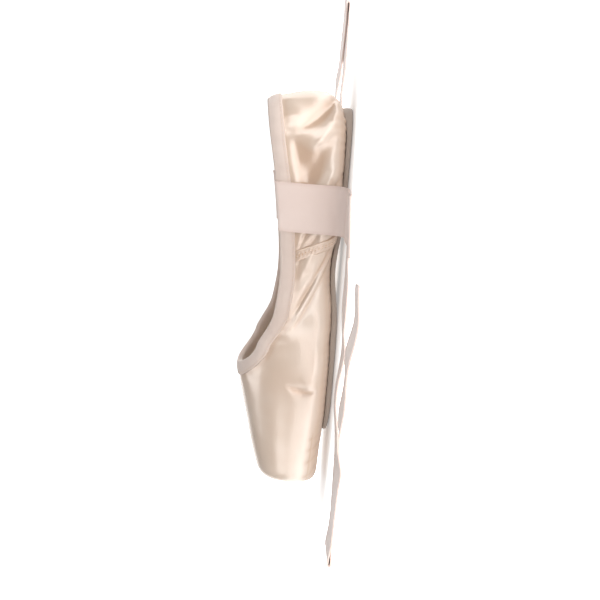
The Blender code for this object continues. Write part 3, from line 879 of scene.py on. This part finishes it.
# Creases of the sides. A place is a share of the length and a share of the top edge's height there.
# Widths, depths and bows are in millimetres; troughs are negative.
Fold = namedtuple("Fold", "side start end width depth bow")
folds = (
    Fold(1, (0.004, 0.20), (0.085, 0.66), 4.4, -1.8, -1.5),
    Fold(1, (0.012, 0.13), (0.125, 0.50), 3.6, 1.1, -1.5),
    Fold(1, (0.015, 0.72), (0.090, 0.84), 7.0, 0.5, 0.0),
    Fold(1, (0.115, 0.78), (0.200, 0.52), 10.0, -1.2, 0.0),
    Fold(1, (0.160, 0.60), (0.265, 0.34), 9.0, -0.6, 0.0),
    Fold(1, (0.385, 0.84), (0.165, 0.14), 5.0, 1.3, -2.0),
    Fold(1, (0.400, 0.78), (0.195, 0.09), 2.0, -1.4, -2.0),
    Fold(1, (0.345, 0.92), (0.090, 0.20), 5.0, -0.8, -2.5),
    Fold(1, (0.357, 0.13), (0.600, 0.84), 1.7, -1.5, -1.5),
    Fold(1, (0.368, 0.12), (0.592, 0.74), 2.0, 0.8, -1.5),
    Fold(1, (0.378, 0.11), (0.580, 0.66), 1.6, -1.3, -1.0),
    Fold(1, (0.350, 0.44), (0.450, 0.82), 2.4, -0.9, 1.0),
    Fold(1, (0.365, 0.40), (0.480, 0.78), 2.6, 0.7, 1.0),
    Fold(1, (0.392, 0.35), (0.425, 0.74), 6.0, 0.9, 0.0),
    Fold(1, (0.440, 0.50), (0.510, 0.26), 6.0, 0.6, 0.0),
    Fold(1, (0.728, 0.60), (0.738, 0.26), 1.9, -1.1, 1.2),
    Fold(1, (0.706, 0.46), (0.714, 0.20), 4.0, 0.7, 0.8),
    Fold(-1, (0.006, 0.26), (0.095, 0.60), 4.6, -1.6, -1.0),
    Fold(-1, (0.014, 0.17), (0.140, 0.42), 3.8, 0.9, -1.2),
    Fold(-1, (0.390, 0.80), (0.150, 0.20), 5.5, 1.1, -2.5),
    Fold(-1, (0.405, 0.72), (0.180, 0.12), 2.2, -1.3, -2.0),
    Fold(-1, (0.330, 0.90), (0.070, 0.30), 3.5, -0.9, -2.0),
    Fold(-1, (0.350, 0.16), (0.570, 0.82), 1.9, -1.3, -2.0),
    Fold(-1, (0.366, 0.15), (0.560, 0.72), 2.2, 0.7, -2.0),
    Fold(-1, (0.380, 0.13), (0.545, 0.60), 1.8, -1.1, -1.0),
    Fold(-1, (0.360, 0.40), (0.480, 0.84), 3.0, -0.8, 1.5),
    Fold(-1, (0.715, 0.55), (0.733, 0.25), 2.8, -1.1, 1.0),
)


def foldDepth(points, normal):
    station, height = stationOf(points[..., 0]), points[..., 2]
    total = np.zeros(station.shape)
    for fold in folds:
        start, end = [np.array((at * last["length"], up * glide(at * last["length"], rims)))
                      for at, up in (fold.start, fold.end)]
        size = np.linalg.norm(end - start)
        run = (end - start) / size
        alongIt = ((station - start[0]) * run[0] + (height - start[1]) * run[1]) / size
        inside = np.clip(alongIt, 0.0, 1.0)
        past = (alongIt - inside) * size
        offIt = (height - start[1]) * run[0] - (station - start[0]) * run[1]
        offIt = offIt - fold.bow / 1000 * 4 * inside * (1 - inside)
        width = fold.width / 1000 * (0.65 + 0.35 * np.sin(math.pi * inside))
        taper = np.sin(math.pi * np.clip(0.06 + 0.88 * inside, 0.0, 1.0)) ** 0.6
        power = 0.72 if fold.depth < 0 and fold.width < 5 else 1.0  # narrow troughs have a sharp bottom
        form = np.exp(-((offIt ** 2 + past ** 2) / width ** 2) ** power)
        total += fold.depth / 1000 * taper * form * ease(normal[..., 1] * fold.side, 0.02, 0.30)
    return total


def softWobble(points, step):
    x, y, z = np.moveaxis(points, -1, 0) / step
    wave = np.sin(1.7 * x + 0.9 * np.sin(1.3 * z + y)) * np.sin(1.9 * z + 1.1 * np.sin(0.9 * x - y) + 0.7)
    return wave * 0.7 + 0.3 * np.sin(3.7 * x + 2.1 * z + 1.5 * np.sin(2.3 * z - 1.1 * x + 2 * y))


def bell(distance, width):
    return np.exp(-(distance / width) ** 2)


def relief(points, normal, down, alongRim):  # how far the satin stands off the plain last, and its shade
    x, y, z = np.moveaxis(points, -1, 0)
    station = stationOf(x)
    rise = z - underHeight(station)
    downward = -normal[..., 2]

    # where each kind of relief shows
    clear = ease(down, tapeSizes["width"] * 0.92, tapeSizes["width"] * 1.9)
    quarter = 1 - ease(station, 0.135, 0.175)
    nearTape = ease(down, 0.0068, 0.009) * (1 - ease(down, 0.011, 0.019))
    atHeel = (1 - ease(station, 0.012, 0.040)) * (1 - ease(rise, 0.004, 0.014))
    lasted = ease(downward, 0.45, 0.85) * (1 - ease(station, 0.195, 0.202))
    back = clear * (1 - ease(station, 0.010, 0.016))
    reach = np.hypot(station - upper["pleatCentre"], y)
    pleated = ease(station, 0.197, 0.204) * ease(downward, 0.10, 0.45) * ease(reach, 0.012, 0.017)
    edge = ease(station, 0.196, 0.204) * bell(rise - upper["pleatEdge"], upper["pleatEdgeWidth"])

    creases = foldDepth(points, normal) * clear
    wobble = upper["boxWobble"] + (upper["wobble"] - upper["boxWobble"]) * quarter
    pucker = np.sin(alongRim / upper["puckerPitch"] + 2.2 * np.sin(alongRim / 0.0093))
    bearing = np.arctan2(y, last["heelRadius"] - station)
    gathers = np.sin(bearing * upper["gathers"] + 1.5 * np.sin(bearing * 5))
    drawn = np.sin(x / upper["lastingPitch"] + 1.3 * np.sin(x / 0.006))
    turn = np.arctan2(y, station - upper["pleatCentre"])
    fan = np.abs(np.sin(turn * upper["pleats"] + 0.4 * np.sin(turn * 3.1)))
    ridges = upper["ridgeShare"] * bell(np.abs(y) - upper["ridgeOff"], upper["ridgeWidth"])

    total = creases + wobble * softWobble(points, upper["wobbleStep"]) * clear
    total += upper["pucker"] * nearTape * pucker * (0.6 + 0.4 * np.sin(alongRim / 0.0137))
    total += upper["gather"] * atHeel * gathers
    total += upper["lasting"] * lasted * drawn
    total += upper["seamGroove"] * back * (ridges - bell(y, upper["seamWidth"]))
    total += upper["pleat"] * pleated * (fan ** 0.7 - 0.6)
    total -= upper["pleatEdgeDepth"] * edge

    # Painted shade for the satin's colour: in the creases, along the pleat edge line and the back seam's
    # groove, in the pleat hollows, on the underside towards the sole, just below the binding and in the
    # heel gathers
    shades = (
        np.clip(-creases / 0.001, 0.0, 1.0),
        upperShade["edge"] * edge,
        upperShade["seam"] * back * bell(y, 0.0006),
        upperShade["pleat"] * pleated * (1 - fan) ** 2,
        upperShade["under"] * ease(downward, 0.30, 0.75),
        upperShade["tape"] * nearTape * (1 - ease(down, 0.009, 0.012)),
        upperShade["gather"] * atHeel * (0.5 - 0.5 * gathers),
    )
    return total, np.maximum.reduce(shades)


centre, heading = around(upper["halfColumns"])
lines = Meridians(centre, heading)
rimAlong = runAlong(bothSides(lines.below((0.0,)))[:, 0])


def makeUpper():
    outer, outerDown = lines.spread(upper["rimRows"], upper["outerRows"])
    inner, innerDown = lines.spread((0.0, tapeSizes["inside"]), upper["innerRows"])
    outer, outerDown = bothSides(outer), bothSame(outerDown)
    inner, innerDown = bothSides(inner), bothSame(innerDown)
    normal, inward = outward(outer), outward(inner)
    height, dark = relief(outer, normal, outerDown, rimAlong[:, None])
    softer = relief(inner, inward, innerDown, rimAlong[:, None])[0] * upper["liningRelief"]
    wall = wallAt(inner)
    shell, near, far = [inner - inward * (wall - gap) + inward * softer[..., None]
                        for gap in (upper["liningGap"], upper["liningThickness"], 0.0)]
    ring = np.concatenate((outer + normal * height[..., None], shell[:, ::-1]), axis=1)
    piece = sweep("upper_satin", ring, satin, sharp=60)
    # Painted shade: how far the satin's colour is darkened, none on the inner face
    paint(piece, "paintedShade", np.concatenate((dark, np.zeros(shell.shape[:2])), axis=1))
    paint(piece, "gloss", softWobble(ring, upper["glossStep"]))
    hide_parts("upper")
    cover = sweep("upper_lining", np.concatenate((near, far[:, ::-1]), axis=1), canvas, sharp=60)


makeUpper()
print("upper made")


# The outsole and the insole

outsole = {
    "rings": (0.0, 0.3, 0.55, 0.75, 0.88, 0.95, 1.0), "treadRings": (0.0, 0.3, 0.55, 0.70, 0.80, 0.86),
    "channelRings": (1.9, 1.45, 1.2, 1.0, 0.8, 0.55, 0.3), "edgeBulge": 0.04, "edgeTuck": 0.3,
    "treadDepth": 0.0005, "scuff": 0.85, "scuffElsewhere": 0.1, "edgeTone": 0.9,
}
insole = {
    "rings": (0.0, 0.25, 0.5, 0.7, 0.82, 0.9, 0.96, 1.0), "thickness": 0.0015, "spread": 0.002,
    "clearance": 0.0005,
}


def flatPlace(flat):  # the floor places at these distances from the spine
    return (placeOf(centre[:, None]) + flat * np.cos(heading)[:, None], flat * np.sin(heading)[:, None])


def underRings(reach, shares):
    x, y = flatPlace(reach[:, None] * np.asarray(shares)[None, :])
    z = halve(np.zeros_like(x), bellyHeight(stationOf(x)), lambda height: fullness(x, y, height) > 1)
    return np.stack((x, y, z), axis=-1)


def makeOutsole():
    reach = soleReach(centre, heading)
    rings = underRings(reach, outsole["rings"])
    top = rings + outward(rings) * last["clearance"]
    inner = reach[:, None] * np.array(outsole["treadRings"])
    outer = reach[:, None] - np.array(outsole["channelRings"]) * sole["channelIn"]
    flat = np.sort(np.maximum(np.concatenate((inner, outer), axis=1), 0.0), axis=1)
    x, y = flatPlace(flat)
    groove = sole["channelDepth"] * bell(reach[:, None] - flat - sole["channelIn"], sole["channelWidth"])
    tread = np.stack((x, y, glide(stationOf(x), treads) + groove), axis=-1)
    edge = top[:, -1:]
    floor = edge.copy()
    floor[..., 2] = glide(stationOf(edge[..., 0]), treads)
    depth = edge[..., 2:] - floor[..., 2:]
    out = np.stack((np.cos(heading), np.sin(heading), np.zeros_like(heading)), axis=-1)[:, None, :]
    out, bulge = out * sole["edgeRound"], out * depth * outsole["edgeBulge"]
    up = np.array((0.0, 0.0, sole["edgeRound"]))
    tuck = outsole["edgeTuck"]
    side = [edge - tuck * up - tuck * out, edge - up, (edge + floor) / 2 + bulge,
            floor + up, floor + tuck * up - tuck * out, floor - out]
    top[:, -1] -= out[:, 0]
    ring = bothSides(np.concatenate([top] + side + [tread[:, ::-1]], axis=1))
    piece = sweep("outsole_leather", ring, suede, closedSection=False, weld=True, sharp=70)
    points = np.array([vertex.co[:] for vertex in piece.data.vertices])
    station = stationOf(points[:, 0])
    low = points[:, 2] - glide(station, treads) < outsole["treadDepth"]
    atHeel = 1 - ease(station, 0.055, 0.080)
    atBall = ease(station, 0.128, 0.150) * (1 - ease(station, 0.196, 0.202))
    paint(piece, "scuff", np.where(low, outsole["scuff"] * (atHeel + atBall), outsole["scuffElsewhere"]))
    paint(piece, "edge", np.where(low, 0.0, outsole["edgeTone"]))
    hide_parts("outsole")


def makeInsole():
    rings = underRings(soleReach(centre, heading) + insole["spread"], insole["rings"])
    low = rings - outward(rings) * (wallAt(rings) + insole["clearance"])
    high = low + np.array((0.0, 0.0, insole["thickness"]))
    edge = (low[:, -1:] + high[:, -1:]) / 2
    ring = bothSides(np.concatenate((low[:, :-1], edge, high[:, ::-1][:, 1:]), axis=1))
    piece = sweep("insole_sock", ring, sock, closedSection=False, weld=True, sharp=50)
    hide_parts("insole")


makeOutsole()
makeInsole()
print("sole made")


# The binding, a tape folded over the top edge with the drawstring in it

binding = {
    "puff": 0.00035, "ripple": 0.00008, "near": 0.00012,
    # shares of the tape's width down each side, and of its height off the satin there
    "outDown": (1.0, 1.006, 0.99, 0.94, 0.85, 0.72, 0.58, 0.44, 0.30, 0.15),
    "outOff": (0.35, 0.75, 0.96, 0.90, 1.0, 1.0, 1.0, 1.0, 1.0),
    "inDown": (0.3, 0.6, 0.9, 1.0), "inOff": (1.0, 1.0, 0.9, 0.5),
    "stitchRow": 4, "edgeRows": 3, "stitchShade": 0.5, "edgeShade": 0.8, "backDown": 0.5,
    "stitchDown": 0.0063, "stitchOff": 0.93, "stitchPitch": 0.0026, "stitchLength": 0.0018,
    "stitchRadius": 0.00017,
}


def makeBinding():
    near, far = binding["near"], last["clearance"] + tapeSizes["thickness"]
    width, inside = tapeSizes["width"], tapeSizes["inside"]
    outDown = np.array(binding["outDown"])
    outOff = np.array([near] + [share * far for share in binding["outOff"]])
    hem = binding["outDown"][binding["stitchRow"]]
    outOff += binding["puff"] * np.sin(math.pi * np.clip((hem - outDown) / hem, 0.0, 1.0))
    outside = [offOutside(lines, (down,), off) for down, off in zip(outDown * width, outOff)]
    inner = [offInside(lines, (down * inside,), off * far)
             for down, off in zip(binding["inDown"], binding["inOff"])]
    front = overEdge(lines, far, np.linspace(0, 180, 11))
    back = [offInside(lines, (inside,), near), overEdge(lines, near, np.linspace(180, 0, 5)),
            offOutside(lines, (width * binding["backDown"],), near)]
    ring = bothSides(np.concatenate(outside + [front] + inner + back, axis=1))
    rows = len(outside)
    ripple = binding["ripple"] * np.sin(rimAlong / 0.0013 + 2 * np.sin(rimAlong / 0.011))
    ring[:, 1:rows] += outward(ring[:, 1:rows]) * ripple[:, None, None]
    piece = sweep("binding_tape", ring, tape, sharp=60)
    paint(piece, "along", np.repeat(rimAlong, ring.shape[1]))
    paint(piece, "across", np.tile(runAlong(ring[0]), len(ring)))
    shade = np.zeros(ring.shape[1])
    shade[:binding["edgeRows"]] = binding["edgeShade"]
    shade[binding["stitchRow"]] = binding["stitchShade"]
    paint(piece, "shade", np.tile(shade, len(ring)))
    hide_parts("binding")
    row = bothSides(lines.below((binding["stitchDown"],)))[:, 0]
    normal = outward(row)
    places = alongLoop(row + normal * far * binding["stitchOff"], normal, binding["stitchPitch"])
    stitches("binding_stitches", "tape", *places, binding["stitchLength"], binding["stitchRadius"])


makeBinding()
print("binding made")


# The raised side seams

seam = {
    "width": 0.0065, "thickness": 0.0007, "top": 0.095, "foot": 0.083, "rows": 60, "across": 13,
    "ripple": 0.00007, "edge": 0.35, "edgeCurve": 8, "stand": 0.2, "shade": 0.40, "edgeShade": 0.6,
    "dotShade": 1.7, "dotRows": 4, "zigzag": 0.00055, "stitchPitch": 0.0022, "stitchLength": 0.0019,
    "stitchRadius": 0.00017,
}


def seamStrip():
    shares = np.linspace(0.0, 1.0, seam["rows"])
    across = np.linspace(-0.5, 0.5, seam["across"])
    spine = seam["top"] + (seam["foot"] - seam["top"]) * shares
    centres = (spine[:, None] + across[None, :] * seam["width"]).ravel()
    headings = np.full_like(centres, sideways)
    down = Meridians(centres, headings, soleReach(centres, headings) + sole["thickness"], samples=60)
    start = tapeSizes["width"] + seam["stand"] * last["clearance"]
    wanted = start + np.repeat(shares, len(across)) * (down.down[:, -1] - start)
    points = down.below(wanted[:, None])[:, 0].reshape(len(shares), len(across), 3)
    normal = outward(points)
    rounded = np.sqrt(np.clip(1 - (2 * np.abs(across)) ** seam["edgeCurve"], 0.0, 1.0))
    ripple = seam["ripple"] * np.sin(shares * 75)[:, None] * np.sin(across * 9)[None, :]
    low = points + normal * last["clearance"] * seam["stand"]
    edge = seam["edge"]
    raised = (edge + (1 - edge) * rounded)[None, :] * (edge + (1 - edge) * ease(shares, 0.0, 0.06))[:, None]
    high = points + normal * (last["clearance"] + seam["thickness"] * raised + ripple)[..., None]
    return low, high, normal, rounded


def makeSideSeam(node, side, strip):
    low, high, normal, rounded = strip
    shares, across = low.shape[:2]
    ring = np.concatenate((low, high[:, ::-1]), axis=1)
    ring[..., 1] *= side
    piece = sweep(node + "_strip", ring, satin, closedRow=False, sharp=60)
    # Painted shade on the strip's top: the whole band darker, more at its rounded edges, with dark dots at
    # the stitch holes
    shade = np.concatenate((np.zeros(across), seam["shade"] + seam["edgeShade"] * (1 - rounded)))
    shade = np.tile(shade, (shares, 1))
    middle = across // 2
    shade[1::seam["dotRows"], across + middle - 1:across + middle + 2] = seam["dotShade"]
    paint(piece, "paintedShade", shade)
    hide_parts(node)
    spine = high[:, middle] * (1, side, 1)
    facing = normal[:, middle] * (1, side, 1)
    middles, directions, normals = alongLoop(spine, facing, seam["stitchPitch"], closed=False)
    lean = np.where(np.arange(len(middles)) % 2 == 0, 1.0, -1.0)[:, None]
    zigzag = np.cross(directions, normals) * lean * seam["zigzag"] * 2
    middles = middles - normals * seam["stitchRadius"] * 0.2
    stitches(node + "_stitches", "satin", middles, directions * seam["stitchPitch"] + zigzag, normals,
             seam["stitchLength"], seam["stitchRadius"])


strip = seamStrip()
makeSideSeam("side_seam_left", 1, strip)
makeSideSeam("side_seam_right", -1, strip)
print("side seams made")
